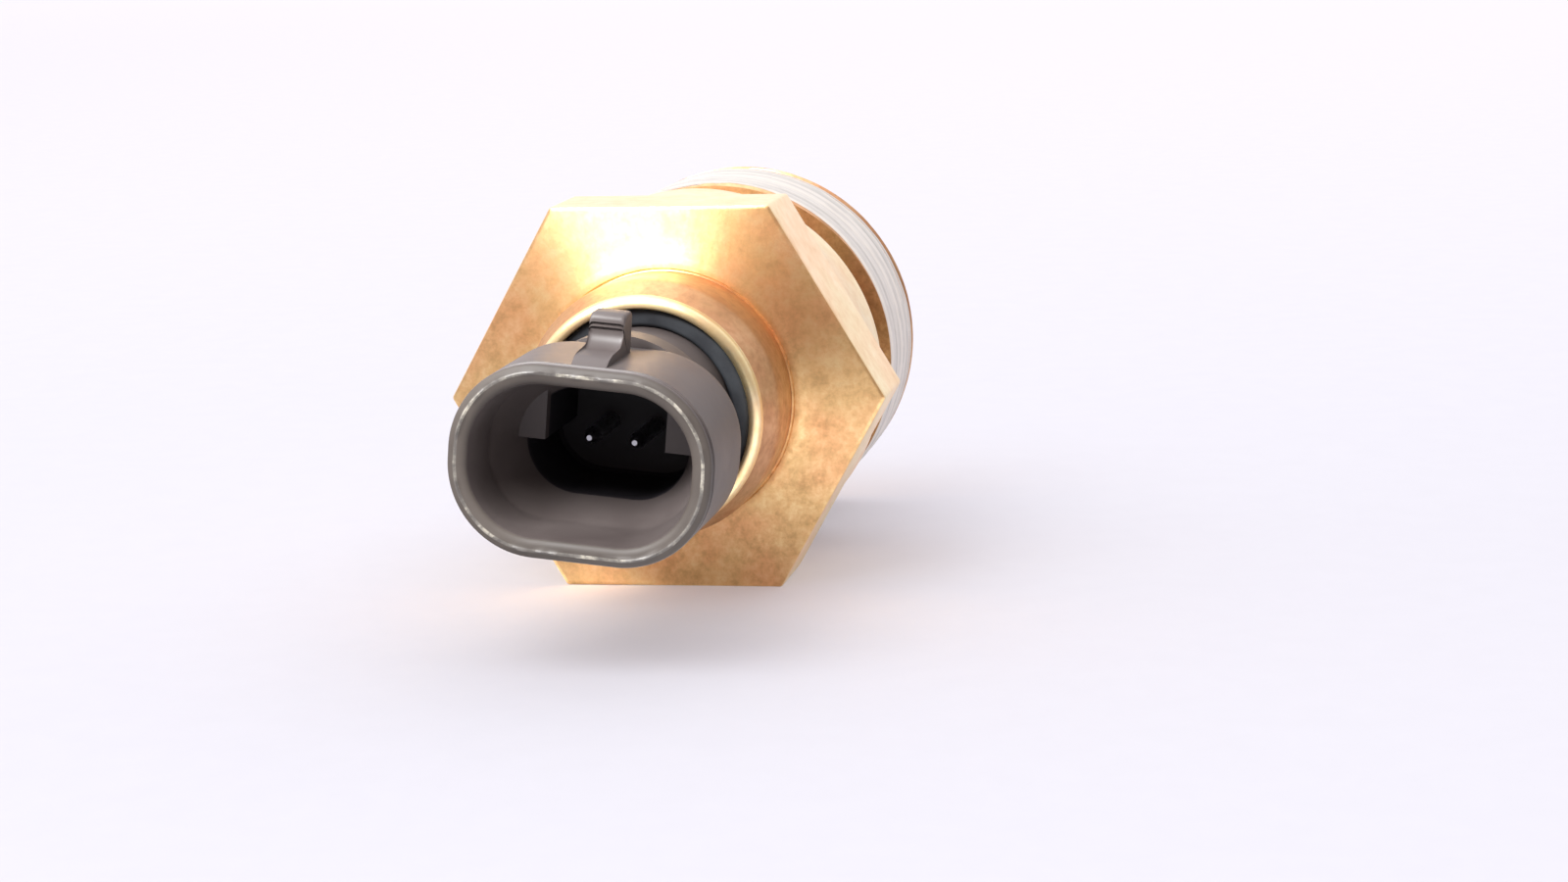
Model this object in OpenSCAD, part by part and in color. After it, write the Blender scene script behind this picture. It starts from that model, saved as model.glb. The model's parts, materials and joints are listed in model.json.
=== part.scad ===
// Pressure switch with a hexagon body, a crimped-in two-pin connector and a parallel pipe thread.
// Lengths are in millimetres. Stations along the axis are heights h above the hexagon's front face:
// the connector mouth is at positive h and the port end is at negative h.

/* [Hexagon] */
// Width across the hexagon's flats
hex_af = 27; // [26:0.5:28]
// Thickness of the hexagon
hex_t = 6.9; // [5:0.1:8]
// Radius of the round shoulder behind the hexagon
shoulder_r = 13.4; // [12.5:0.1:13.4]
// Length of the round shoulder
shoulder_len = 5.1; // [3:0.1:7]

/* [Crimp collar] */
// Outer radius of the collar where it meets the hexagon
collar_r = 9.15; // [8.9:0.05:9.6]
// Height of the collar's rolled lip above the hexagon
collar_h = 7.55; // [7.2:0.05:8]
// Inner radius of the rolled lip
lip_r = 7.4; // [7.2:0.05:7.5]

/* [Port] */
// Radius of the thread's crests
thread_r = 13.16; // [13.1:0.01:13.2]
// Outer radius of the sealed thread
sealed_r = 13.22; // [13.22:0.01:13.3]
// Thread pitch
pitch = 1.814; // [1.814:14 turns per inch, 2.309:11 turns per inch]
// Depth of the thread
thread_depth = 1.16; // [0.8:0.02:1.2]
// Length of the groove between the shoulder and the thread
relief_len = 5.6; // [4:0.1:7]
// Length of the thread that carries sealant
sealed_len = 11; // [8:0.1:11]
// Length of the bare thread end behind the sealant
thread_end_len = 1.7; // [1.5:0.1:3]
// Radius of the port bore
port_r = 3.2; // [2.5:0.1:4]
// Radius of the passage between the port bore and the diaphragm
passage_r = 1.3; // [0.8:0.1:2]

/* [Connector] */
// Height of the connector mouth above the hexagon
mouth_h = 24.9; // [24:0.1:26]
// Width of the shroud at its mouth
shroud_w = 17.1; // [17:0.1:17.4]
// Height of the shroud at its mouth
shroud_t = 12.5; // [12.3:0.1:12.8]
// Corner radius of the shroud
shroud_rc = 5.85; // [5.6:0.05:6.1]
// Wall thickness at the mouth
wall = 1.3; // [1.2:0.05:1.4]
// Length of the oval shroud, from its mouth to its rear edge
shroud_len = 9.9; // [9.5:0.1:10.5]
// Turn of the connector on the axis, clockwise from the front
roll = 6.2; // [0:0.1:8]
// Distance between the two pins
pin_pitch = 3.05; // [3:0.05:3.2]
// Radius of a pin
pin_r = 0.55; // [0.5:0.05:0.6]
// Depth of the pin tips below the mouth
pin_depth = 9.1; // [8.8:0.1:10]

/* [Mechanism] */
// Travel of the piston and the push rod
travel = 0.4; // [0.3:0.05:0.4]
// Running clearance of the sliding parts
slip = 0.05; // [0.03:0.01:0.08]
// Turns of the range spring
spring_turns = 4.5; // [3.5:0.5:5]

/* [Hidden] */

$fn = 96;
HULL_FN = 32;
EPS = 0.01;
BIG = 60;

// Colours
BRASS = "#e0a868";
WHITE = "#e1e1de";
PLASTIC = "#6e6864";
RUBBER = "#2c2f33";
TIN = "#d8d8dc";
STEEL = "#a9abb0";
SILVER = "#e6e4df";
NATURAL = "#d9cfb4";
AMBER = "#c8862c";

// Stations along the axis
shoulder_end = -hex_t - shoulder_len;
thread_top = shoulder_end - relief_len;
sealed_end = thread_top - sealed_len;
port_end = sealed_end - thread_end_len;
sealed_mid = thread_top - sealed_len / 2;
lip_under = 5.9;
socket_floor = -20;
port_bore_top = port_end + 5.2;
shroud_rear = mouth_h - shroud_len;

// Body
socket_r = 7.9;
inner_r = socket_r - slip;
relief_r = 12;
hex_edge = 0.25;
end_chamfer = 0.9;
collar_straight = 2;
collar_bend_h = 4.6;
collar_taper = 0.35;
crown_r = 0.45;

// Connector cavity: section width, height, corner radius and depth below the mouth
cavity_w = shroud_w - 2 * wall;
cavity_t = shroud_t - 2 * wall;
cavity_rc = shroud_rc - wall;
step_in = 0.35;
step_depth = 4.2;
pocket_w = 10.7;
pocket_t = 7;
pocket_depth = 8.3;
pocket_floor = 15.5;
index_x = 4;
index_depth = 7.2;
rim_edge = 0.35;

// Lock nib on top of the shroud
nib_w = 2.3;
nib_t = 2.3;
nib_rise = 2.7;
nib_set = 5.7;
nib_pad = 0.45;
nib_pad_end = 1.2;
nib_fillet = 1.1;
nib_round = 0.5;

// Round base of the connector and the parts that the collar holds
base_r = 6.75;
base_len = 3;
neck_r = 6.1;
flange_top = 5.2;
flange_bottom = 1;
skirt_r = 6.7;
skirt_end = -4.6;
gasket_top = 7;
oring_r = 0.5;
oring_h = 3;
oring_groove_r = socket_r - 2 * oring_r - 0.02;
oring_groove_w = 1.3;

// Contacts, in the connector's rolled frame
carrier_r = skirt_r - slip;
strip_t = 0.5;
strip_in = 0.95;
strip_out = 2.1;
strip_over = 0.8;
arm_y = -4.8;
contact_y = 3.4;
strip_half = 0.8;
fixed_t = 0.4;
contact_r = 0.8;
contact_dome = 0.3;
arm_t = 0.25;
arm_w = 1.4;
arm_eye_r = 1;
rivet_r = 0.45;
rivet_head_r = 0.9;
rivet_play = 0.1;
touch = 0.02;
arm_reach = contact_y - arm_y;
contact_gap = travel * arm_reach / -arm_y + 2 * touch;
arm_top = -strip_t - fixed_t - contact_gap - contact_dome;
rod_tip = arm_top - arm_t - touch;
rod_r = 0.8;
rod_foot_r = 1.2;
rod_foot_t = 0.4;

// Stack between the connector and the socket floor
guide_bottom = -5.9;
rim_gap = 0.05;
disc_rim = -7.9;
disc_r = 6.3;
disc_rise = 0.5;
disc_t = 0.2;
disc_big_r = (disc_r * disc_r + disc_rise * disc_rise) / (2 * disc_rise);
ridge_r = 6.1;
seat_top = -8.6;
seat_bottom = -10.2;
stem_r = 1.4;
piston_r = 5;
piston_top = -16.4;
seal_t = 0.8;
seal_inner_r = 6.4;
diaphragm_t = 0.25;
diaphragm_top = socket_floor + seal_t + diaphragm_t;
spring_r = 3.2;
wire_r = 0.4;
spring_sides = 8;
spring_steps = 20;
screen_t = 0.6;
screen_h = port_end + 2.6;
screen_hole_r = 0.3;
screen_pitch = 1;

// ---- Placing ----

// Puts a part that was drawn along +Z onto the switch's axis: +Z of the part points to the mouth
module on_axis(turn = 0) {
    translate([0, sealed_mid, 0])
        rotate([90, 0, 0])
            rotate([0, 0, -turn])
                children();
}

// Disc or ring between two stations
module ring(bottom, top, outer, inner = 0) {
    translate([0, 0, bottom])
        difference() {
            cylinder(h = top - bottom, r = outer);
            if (inner > 0)
                translate([0, 0, -EPS])
                    cylinder(h = top - bottom + 2 * EPS, r = inner);
        }
}

// Rectangle with round corners
module rounded_rect(w, t, rc) {
    square([w - 2 * rc, t], center = true);
    square([w, t - 2 * rc], center = true);
    for (x = [-1, 1], y = [-1, 1])
        translate([x * (w / 2 - rc), y * (t / 2 - rc)])
            circle(r = rc);
}

// Thin slice of the connector's oval section
module slice(h, w, t, rc) {
    translate([0, 0, h])
        linear_extrude(EPS)
            rounded_rect(w, t, rc, $fn = HULL_FN);
}

// ---- Brass body ----

// Outline of the threaded end as radius and station, one V groove for each turn
module thread_solid() {
    turns = floor((sealed_len + thread_end_len - end_chamfer) / pitch);
    land = pitch / 5;
    grooves = [for (i = [0 : turns - 1])
        let (top = thread_top - i * pitch)
            each [[thread_r, top - land], [thread_r - thread_depth, top - pitch / 2 - land / 2],
                  [thread_r, top - pitch]]];
    rotate_extrude()
        polygon(concat([[0, thread_top], [thread_r, thread_top]], grooves,
                       [[thread_r, port_end + end_chamfer], [thread_r - end_chamfer, port_end],
                        [0, port_end]]));
}

// Hexagon with its front corners just broken
module hexagon() {
    corner_r = hex_af / 2 / cos(30);
    intersection() {
        translate([0, 0, -hex_t])
            cylinder(h = hex_t, r = corner_r, $fn = 6);
        rotate_extrude()
            polygon([[0, -hex_t], [corner_r + EPS, -hex_t], [corner_r + EPS, -2 * hex_edge],
                     [corner_r - hex_edge, 0], [0, 0]]);
    }
}

// Collar that is rolled in over the connector's flange
module collar() {
    rotate_extrude()
        polygon(concat(
            [[0, -hex_t], [collar_r, -hex_t], [collar_r, collar_straight],
             [collar_r - collar_taper, collar_bend_h],
             [lip_r + 2 * crown_r, collar_h - crown_r]],
            [for (a = [15 : 15 : 165])
                [lip_r + crown_r + crown_r * cos(a), collar_h - crown_r + crown_r * sin(a)]],
            [[lip_r, collar_h - crown_r], [lip_r, lip_under], [0, lip_under]]));
}

module hex_body() {
    color(BRASS)
        on_axis()
            difference() {
                union() {
                    hexagon();
                    collar();
                    ring(shoulder_end, -hex_t + EPS, shoulder_r);
                    ring(thread_top, shoulder_end, relief_r);
                    thread_solid();
                }
                ring(socket_floor, lip_under, socket_r);
                ring(lip_under - EPS, collar_h + EPS, lip_r);
                ring(port_bore_top, socket_floor + EPS, passage_r);
                ring(port_end - EPS, port_bore_top, port_r);
            }
}

module thread_sealant() {
    color(WHITE)
        on_axis()
            difference() {
                ring(sealed_end, thread_top, sealed_r);
                thread_solid();
            }
}

// ---- Connector ----

module shroud_outside() {
    hull() {
        slice(mouth_h - EPS, shroud_w - 2 * rim_edge, shroud_t - 2 * rim_edge,
              shroud_rc - rim_edge);
        slice(mouth_h - rim_edge, shroud_w, shroud_t, shroud_rc);
        slice(shroud_rear + 2 * rim_edge, shroud_w, shroud_t, shroud_rc);
        slice(shroud_rear, shroud_w - 2 * rim_edge, shroud_t - 2 * rim_edge,
              shroud_rc - rim_edge);
    }
}

module cavity() {
    step_w = cavity_w - 2 * step_in;
    step_t = cavity_t - 2 * step_in;
    difference() {
        union() {
            hull() {
                slice(mouth_h, cavity_w, cavity_t, cavity_rc);
                slice(mouth_h - step_depth, step_w, step_t, cavity_rc - step_in);
            }
            hull() {
                slice(mouth_h - step_depth, step_w, step_t, cavity_rc - step_in);
                slice(mouth_h - pocket_depth, pocket_w, pocket_t, pocket_t / 2 - EPS);
            }
            translate([0, 0, mouth_h - pocket_floor])
                linear_extrude(pocket_floor - pocket_depth + EPS)
                    rounded_rect(pocket_w, pocket_t, pocket_t / 2 - EPS);
        }
        for (side = [-1, 1])
            translate([side > 0 ? index_x : -index_x - BIG, 0, mouth_h - index_depth - BIG])
                cube([BIG, BIG, BIG]);
    }
}

// Side view of the nib: a ramped pad, a round fillet and a tooth with a round top
module nib_outline() {
    top = shroud_t / 2;
    face = mouth_h - nib_set;
    back = face - nib_t;
    polygon(concat(
        [[top - 1, back], [top - 1, mouth_h - nib_pad_end - nib_pad], [top, mouth_h - nib_pad_end],
         [top + nib_pad, mouth_h - nib_pad_end - 2 * nib_pad]],
        [for (a = [0 : 15 : 90])
            [top + nib_pad + nib_fillet * (1 - cos(a)), face + nib_fillet * (1 - sin(a))]],
        [for (a = [0 : 15 : 90])
            [top + nib_rise - nib_round + nib_round * sin(a), face - nib_round + nib_round * cos(a)]],
        [for (a = [0 : 15 : 90])
            [top + nib_rise - nib_round + nib_round * cos(a), back + nib_round - nib_round * sin(a)]]));
}

module nib() {
    translate([nib_w / 2, 0, 0])
        rotate([0, -90, 0])
            linear_extrude(nib_w)
                mirror([1, -1])
                    nib_outline();
}

module connector_housing() {
    color(PLASTIC)
        on_axis(roll)
            difference() {
                union() {
                    shroud_outside();
                    nib();
                    ring(shroud_rear - base_len, shroud_rear + EPS, base_r);
                    ring(flange_top - EPS, shroud_rear - base_len + EPS, neck_r);
                    ring(skirt_end, flange_top, inner_r);
                }
                cavity();
                ring(oring_h - oring_groove_w / 2, oring_h + oring_groove_w / 2, BIG,
                     oring_groove_r);
                ring(skirt_end - EPS, flange_bottom, skirt_r);
                for (side = [-1, 1])
                    translate([side * pin_pitch / 2, 0, 0])
                        ring(0, mouth_h - pocket_floor + EPS, pin_r);
            }
}

// Round pin with a tapered tip, on a contact strip that leads to one side of the arm
module terminal(side, far_y) {
    tip_len = 0.9;
    low = min(-strip_half, far_y - strip_half);
    high = max(strip_half, far_y + strip_half);
    pin_x = side * pin_pitch / 2;
    top = mouth_h - pin_depth;
    color(TIN)
        on_axis(roll) {
            translate([pin_x, 0, -EPS])
                cylinder(h = top - tip_len + EPS, r = pin_r);
            translate([pin_x, 0, top - tip_len])
                cylinder(h = tip_len, r1 = pin_r, r2 = pin_r / 2);
            translate([side > 0 ? strip_in : -strip_out, low, -strip_t])
                cube([strip_out - strip_in, high - low, strip_t]);
            translate([side > 0 ? -strip_over : -strip_out, far_y - strip_half, -strip_t])
                cube([strip_out + strip_over, 2 * strip_half, strip_t]);
        }
}

module terminal_pin_left() {
    terminal(-1, contact_y);
}

module terminal_pin_right() {
    terminal(1, arm_y);
}

module terminal_carrier() {
    color(NATURAL)
        on_axis(roll)
            difference() {
                ring(0, flange_bottom, carrier_r);
                for (side = [-1, 1])
                    translate([side * pin_pitch / 2, 0, 0])
                        ring(-EPS, flange_bottom + EPS, pin_r);
            }
}

module flange_gasket() {
    color(RUBBER)
        on_axis() {
            ring(lip_under, gasket_top, lip_r - slip, neck_r + slip);
            ring(flange_top, lip_under, inner_r, neck_r + slip);
        }
}

module housing_o_ring() {
    color(RUBBER)
        on_axis()
            translate([0, 0, oring_h])
                rotate_extrude()
                    translate([socket_r - oring_r - touch / 2, 0])
                        circle(r = oring_r - touch / 2);
}

// ---- Contacts ----

module fixed_contact() {
    color(SILVER)
        on_axis(roll)
            translate([0, contact_y, 0])
                ring(-strip_t - fixed_t, -strip_t, contact_r);
}

// Shouldered rivet that holds the arm's eye under the right strip
module contact_rivet() {
    shoulder = arm_top + rivet_play;
    head = arm_top - arm_t - rivet_play;
    color(BRASS)
        on_axis(roll)
            translate([0, arm_y, 0]) {
                ring(shoulder, -strip_t, rivet_head_r);
                ring(head - EPS, shoulder + EPS, rivet_r);
                ring(head - strip_t, head, rivet_head_r);
            }
}

module contact_arm() {
    color(AMBER)
        on_axis(roll)
            translate([0, 0, arm_top - arm_t])
                difference() {
                    union() {
                        translate([-arm_w / 2, arm_y, 0])
                            cube([arm_w, arm_reach, arm_t]);
                        for (y = [arm_y, contact_y])
                            translate([0, y, 0])
                                cylinder(h = arm_t, r = arm_eye_r);
                    }
                    translate([0, arm_y, -EPS])
                        cylinder(h = arm_t + 2 * EPS, r = rivet_r + rivet_play);
                }
}

// Spherical cap on the free end of the arm
module moving_contact() {
    ball_r = (contact_r * contact_r + contact_dome * contact_dome) / (2 * contact_dome);
    color(SILVER)
        on_axis(roll)
            translate([0, contact_y, arm_top])
                intersection() {
                    cylinder(h = contact_dome + EPS, r = contact_r);
                    translate([0, 0, contact_dome - ball_r])
                        sphere(r = ball_r);
                }
}

// ---- Pressure side ----

module push_rod() {
    foot = disc_rim - disc_rise + disc_t + touch;
    color(NATURAL)
        on_axis() {
            ring(foot, rod_tip - rod_r, rod_r);
            ring(foot, foot + rod_foot_t, rod_foot_r);
            translate([0, 0, rod_tip - rod_r])
                sphere(r = rod_r);
        }
}

// Plate round the push rod, with a ridge over the snap disc's rim and a lip round it
module guide_plate() {
    ridge_bottom = disc_rim + disc_t + rim_gap;
    color(NATURAL)
        on_axis() {
            ring(guide_bottom, skirt_end, inner_r, rod_r + slip);
            ring(ridge_bottom, guide_bottom + EPS, inner_r, ridge_r);
            ring(disc_rim - rim_gap, ridge_bottom + EPS, inner_r, disc_r + slip);
        }
}

// Shallow dome, hollow towards the push rod
module snap_disc() {
    color(STEEL)
        on_axis()
            intersection() {
                translate([0, 0, disc_rim - disc_rise + disc_big_r])
                    difference() {
                        sphere(r = disc_big_r, $fn = 200);
                        sphere(r = disc_big_r - disc_t, $fn = 200);
                    }
                ring(disc_rim - disc_rise - EPS, disc_rim + disc_t, disc_r);
            }
}

module spring_seat() {
    color(STEEL)
        on_axis() {
            ring(seat_bottom, seat_top, inner_r, stem_r + slip);
            ring(seat_top - EPS, disc_rim - rim_gap, inner_r, ridge_r);
        }
}

module guide_sleeve() {
    color(STEEL)
        on_axis()
            ring(diaphragm_top, seat_bottom, inner_r, piston_r + slip);
}

module piston() {
    stem_top = disc_rim - disc_rise - touch;
    color(STEEL)
        on_axis() {
            ring(diaphragm_top + touch, piston_top, piston_r);
            ring(piston_top - EPS, stem_top, stem_r);
        }
}

// One ring of points for each step along the coil
function coil_point(i, s) =
    let (turn = 360 * i / spring_steps, side = 360 * s / spring_sides,
         length = seat_bottom - piston_top - 2 * wire_r - 2 * touch,
         r = spring_r + wire_r * cos(side))
        [r * cos(turn), r * sin(turn), piston_top + wire_r + touch
            + length * i / (spring_turns * spring_steps) + wire_r * sin(side)];

module range_spring() {
    rings = spring_turns * spring_steps;
    points = [for (i = [0 : rings], s = [0 : spring_sides - 1]) coil_point(i, s)];
    walls = [for (i = [0 : rings - 1], s = [0 : spring_sides - 1])
        let (a = i * spring_sides + s, b = i * spring_sides + (s + 1) % spring_sides)
            each [[a, b + spring_sides, b], [a, a + spring_sides, b + spring_sides]]];
    caps = [[for (s = [0 : spring_sides - 1]) s],
            [for (s = [spring_sides - 1 : -1 : 0]) rings * spring_sides + s]];
    color(STEEL)
        on_axis()
            polyhedron(points, concat(walls, caps));
}

module diaphragm() {
    color(AMBER)
        on_axis()
            ring(socket_floor + seal_t, diaphragm_top, inner_r);
}

module diaphragm_seal() {
    color(RUBBER)
        on_axis()
            ring(socket_floor, socket_floor + seal_t, inner_r, seal_inner_r);
}

// Perforated disc in the port bore, with a square grid of holes inside a plain rim
module filter_screen() {
    reach = floor(port_r / screen_pitch);
    color(STEEL)
        on_axis()
            difference() {
                ring(screen_h, screen_h + screen_t, port_r);
                for (x = [-reach : reach], y = [-reach : reach])
                    if (norm([x, y]) * screen_pitch < port_r - 2 * screen_hole_r)
                        translate([x * screen_pitch, y * screen_pitch, 0])
                            ring(screen_h - EPS, screen_h + screen_t + EPS, screen_hole_r);
            }
}

hex_body();
thread_sealant();
connector_housing();
terminal_pin_left();
terminal_pin_right();
flange_gasket();
housing_o_ring();
terminal_carrier();
fixed_contact();
contact_rivet();
contact_arm();
moving_contact();
push_rod();
guide_plate();
snap_disc();
spring_seat();
guide_sleeve();
piston();
range_spring();
diaphragm();
diaphragm_seal();
filter_screen();
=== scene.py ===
"""Looks of the pressure switch: turned brass body, sealed thread, moulded connector.

The switch lies on one flat of its hexagon. Its axis runs along Y: the connector mouth
points to -Y and the port end to +Y. Lengths are metres; a number times MM is millimetres.
"""

import json
import math

import bpy
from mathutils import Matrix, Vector, noise


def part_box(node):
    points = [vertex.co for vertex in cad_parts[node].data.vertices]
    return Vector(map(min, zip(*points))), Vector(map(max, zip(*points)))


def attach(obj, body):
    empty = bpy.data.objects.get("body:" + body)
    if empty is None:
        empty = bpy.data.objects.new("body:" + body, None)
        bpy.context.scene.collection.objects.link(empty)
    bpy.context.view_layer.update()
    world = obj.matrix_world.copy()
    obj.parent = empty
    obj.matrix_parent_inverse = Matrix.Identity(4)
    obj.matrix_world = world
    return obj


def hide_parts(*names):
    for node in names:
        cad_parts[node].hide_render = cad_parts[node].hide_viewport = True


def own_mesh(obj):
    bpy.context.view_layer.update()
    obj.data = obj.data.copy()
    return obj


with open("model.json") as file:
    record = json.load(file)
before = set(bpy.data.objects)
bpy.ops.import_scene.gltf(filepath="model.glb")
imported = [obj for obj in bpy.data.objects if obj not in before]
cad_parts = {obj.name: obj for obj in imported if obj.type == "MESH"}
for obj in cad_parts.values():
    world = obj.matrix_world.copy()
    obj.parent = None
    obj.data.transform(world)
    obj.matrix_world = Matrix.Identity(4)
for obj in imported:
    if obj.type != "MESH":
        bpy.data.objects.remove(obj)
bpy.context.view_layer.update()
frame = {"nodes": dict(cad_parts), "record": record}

MM = 0.001

BODY_LOW, BODY_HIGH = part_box("hex_body")
SEAL_LOW, SEAL_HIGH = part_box("thread_sealant")
FLOOR_Z = BODY_LOW[2]
INRADIUS = -BODY_LOW[2]

# Stations along Y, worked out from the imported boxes
MOUTH_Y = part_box("connector_housing")[0][1]
LIP_Y = BODY_LOW[1]
HEX_Y = LIP_Y + 7.55 * MM
HEX_REAR_Y = HEX_Y + 6.9 * MM
SHOULDER_Y = HEX_REAR_Y + 5.1 * MM
THREAD_Y = SEAL_LOW[1]
SEAL_END_Y = SEAL_HIGH[1]
PORT_END_Y = BODY_HIGH[1]
LIP_INNER_Y = LIP_Y + 0.9 * MM
LIP_UNDER_Y = HEX_Y - 5.9 * MM
FLANGE_Y = HEX_Y - 5.2 * MM

# The connector is turned by this much about the axis
ROLL = math.radians(6.2)


# ---------------------------------------------------------------- mesh helpers

def new_object(name, verts, faces):
    mesh = bpy.data.meshes.new(name)
    mesh.from_pydata(verts, [], faces)
    mesh.validate()
    obj = bpy.data.objects.new(name, mesh)
    bpy.context.scene.collection.objects.link(obj)
    return obj


def shade(obj, degrees=32):
    """Smooth shading with edges sharper than the angle kept crisp."""
    mesh = obj.data
    for face in mesh.polygons:
        face.use_smooth = True
    mesh.set_sharp_from_angle(angle=math.radians(degrees))


def loft(name, rows, angles, closed=False, turn=0.0):
    """A skin round the Y axis. Each row is (radius function of angle, station function of angle).

    closed joins the last row to the first; otherwise each end is capped by a fan.
    """
    verts, faces = [], []
    n = len(angles)
    for radius, station in rows:
        for a in angles:
            r = radius(a)
            verts.append((r * math.cos(a - turn), station(a), r * math.sin(a - turn)))
    count = len(rows)
    for i in range(count if closed else count - 1):
        for j in range(n):
            k, m = (i + 1) % count, (j + 1) % n
            faces.append((i * n + j, k * n + j, k * n + m, i * n + m))
    if not closed:
        for row, flip in ((0, False), (count - 1, True)):
            centre = len(verts)
            verts.append((0.0, rows[row][1](0.0), 0.0))
            for j in range(n):
                a, b = row * n + j, row * n + (j + 1) % n
                faces.append((a, b, centre) if not flip else (b, a, centre))
    return new_object(name, verts, faces)


def fixed(value):
    return lambda a: value


def ring(radius, station):
    """A round row of the loft."""
    return fixed(radius), fixed(station)


def arc_points(r, y, radius, start, end, steps):
    """Points (r, y) of an arc round a centre, with angles in degrees from +r towards +y."""
    turns = [math.radians(start + (end - start) * i / steps) for i in range(steps + 1)]
    return [(r + radius * math.cos(t), y + radius * math.sin(t)) for t in turns]


def arc_rows(*arc):
    """Round rows of the loft along an arc."""
    return [ring(r, y) for r, y in arc_points(*arc)]


def noise_at(*xyz):
    return noise.noise(Vector(xyz))


# ---------------------------------------------------------------- brass body

HEX_CORNER = 0.3 * MM
HEX_BEVEL = 0.18 * MM
# Distance from a bevel to the row beside it, which keeps the flats' shading flat
HEX_HOLD = 0.12 * MM
COLLAR_FOOT_R = 9.2 * MM
LIP_R = 7.4 * MM
LIP_BEAD = 0.3 * MM
SOCKET_R = 7.9 * MM
SOCKET_FLOOR_Y = HEX_Y + 20 * MM
SHOULDER_R = 13.4 * MM
SHOULDER_EDGE = 0.2 * MM
RELIEF_R = 12.0 * MM
THREAD_R = 13.16 * MM
THREAD_DEPTH = 1.16 * MM
THREAD_CHAMFER = 0.9 * MM
PITCH = 1.814 * MM
PORT_FACE_R = 11.9 * MM
PORT_R = 3.2 * MM
PORT_TOP_Y = PORT_END_Y - 5.2 * MM
PASSAGE_R = 1.3 * MM


def hex_radius(inset):
    """Distance from the axis to the hexagon's side at an angle, with round corners."""
    inradius = INRADIUS - inset
    reach = (inradius - HEX_CORNER) / math.cos(math.pi / 6)
    edge = math.atan2((inradius - HEX_CORNER) * math.tan(math.pi / 6), inradius)

    def radius(a):
        off = (a - math.pi / 2) % (math.pi / 3)
        off = min(off, math.pi / 3 - off)
        if off <= edge:
            return inradius / math.cos(off)
        phi = math.pi / 6 - off
        root = HEX_CORNER ** 2 - (reach * math.sin(phi)) ** 2
        return reach * math.cos(phi) + math.sqrt(max(root, 0.0))

    return radius


def hex_angles():
    """Columns of the body: even along each flat and close together round each corner."""
    edge = math.degrees(math.atan2((INRADIUS - HEX_CORNER) * math.tan(math.pi / 6), INRADIUS))
    flat_steps, corner_steps = 34, 6
    angles = []
    for side in range(6):
        middle = 60 * side + 30
        angles += [middle - edge + 2 * edge * i / flat_steps for i in range(flat_steps)]
        angles += [middle + edge + 2 * (30 - edge) * i / corner_steps for i in range(corner_steps)]
    return [math.radians(a) for a in angles]


def hex_row(inset, station):
    return hex_radius(inset), fixed(station)


def profile_rows(station, points):
    """Round rows from (radius, depth behind the station) pairs in millimetres."""
    return [ring(r * MM, station + depth * MM) for r, depth in points]


def collar_rows():
    """The socket's rolled lip, the collar under it and the groove and pad round its foot."""
    rows = [ring(SOCKET_R, LIP_UNDER_Y), ring(LIP_R, LIP_UNDER_Y), ring(LIP_R, LIP_INNER_Y)]
    rows += arc_rows(LIP_R + LIP_BEAD, LIP_Y + LIP_BEAD, LIP_BEAD, 180, 262, 7)
    # land of the lip and its rounded outer edge
    rows += profile_rows(HEX_Y, ((7.85, -7.53), (8.00, -7.48), (8.12, -7.38), (8.20, -7.25),
                                 (8.24, -7.08), (8.25, -6.88), (8.28, -6.72)))
    # cone from the lip to the bend
    rows += profile_rows(HEX_Y, ((8.36, -6.45), (8.50, -6.05), (8.66, -5.60), (8.80, -5.20),
                                 (8.90, -4.92), (8.98, -4.68), (9.03, -4.42)))
    # almost straight wall from the bend to the hexagon's face
    rows += profile_rows(HEX_Y, ((9.05, -4.10), (9.06, -3.20), (9.03, -1.80), (9.00, -0.60),
                                 (8.98, 0.0)))
    # groove round the foot, and the sloped pad outside it
    rows += profile_rows(HEX_Y, ((9.02, 0.05), (9.10, 0.09), (9.20, -0.06), (9.45, -0.12),
                                 (9.62, -0.11), (9.95, -0.03), (10.05, 0.0)))
    # flat face out to the hexagon
    rows += profile_rows(HEX_Y, ((11.2, 0.0), (12.3, 0.0), (13.0, 0.0)))
    return rows


def hex_rows():
    """The hexagon with softly broken edges, front to rear."""
    bevel, hold = HEX_BEVEL, HEX_HOLD
    front = [(bevel + hold, 0), (bevel, 0), (0.3 * bevel, 0.3 * bevel), (0, bevel),
             (0, bevel + hold)]
    rows = [hex_row(inset, HEX_Y + depth) for inset, depth in front]
    rows += [hex_row(inset, HEX_REAR_Y - depth) for inset, depth in reversed(front[1:])]
    return rows


def shoulder_rows():
    """The round shoulder behind the hexagon and the relief groove before the thread."""
    rows = [ring(SHOULDER_R + 0.02 * MM, HEX_REAR_Y), ring(SHOULDER_R, HEX_REAR_Y + 0.05 * MM),
            ring(SHOULDER_R, SHOULDER_Y - 0.4 * MM)]
    rows += arc_rows(SHOULDER_R - SHOULDER_EDGE, SHOULDER_Y - SHOULDER_EDGE, SHOULDER_EDGE, 0, 90, 5)
    rows += [ring(RELIEF_R + 0.3 * MM, SHOULDER_Y), ring(RELIEF_R, SHOULDER_Y + 0.3 * MM),
             ring(RELIEF_R, THREAD_Y - 0.35 * MM), ring(RELIEF_R + 0.1 * MM, THREAD_Y - 0.12 * MM)]
    return rows


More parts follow.
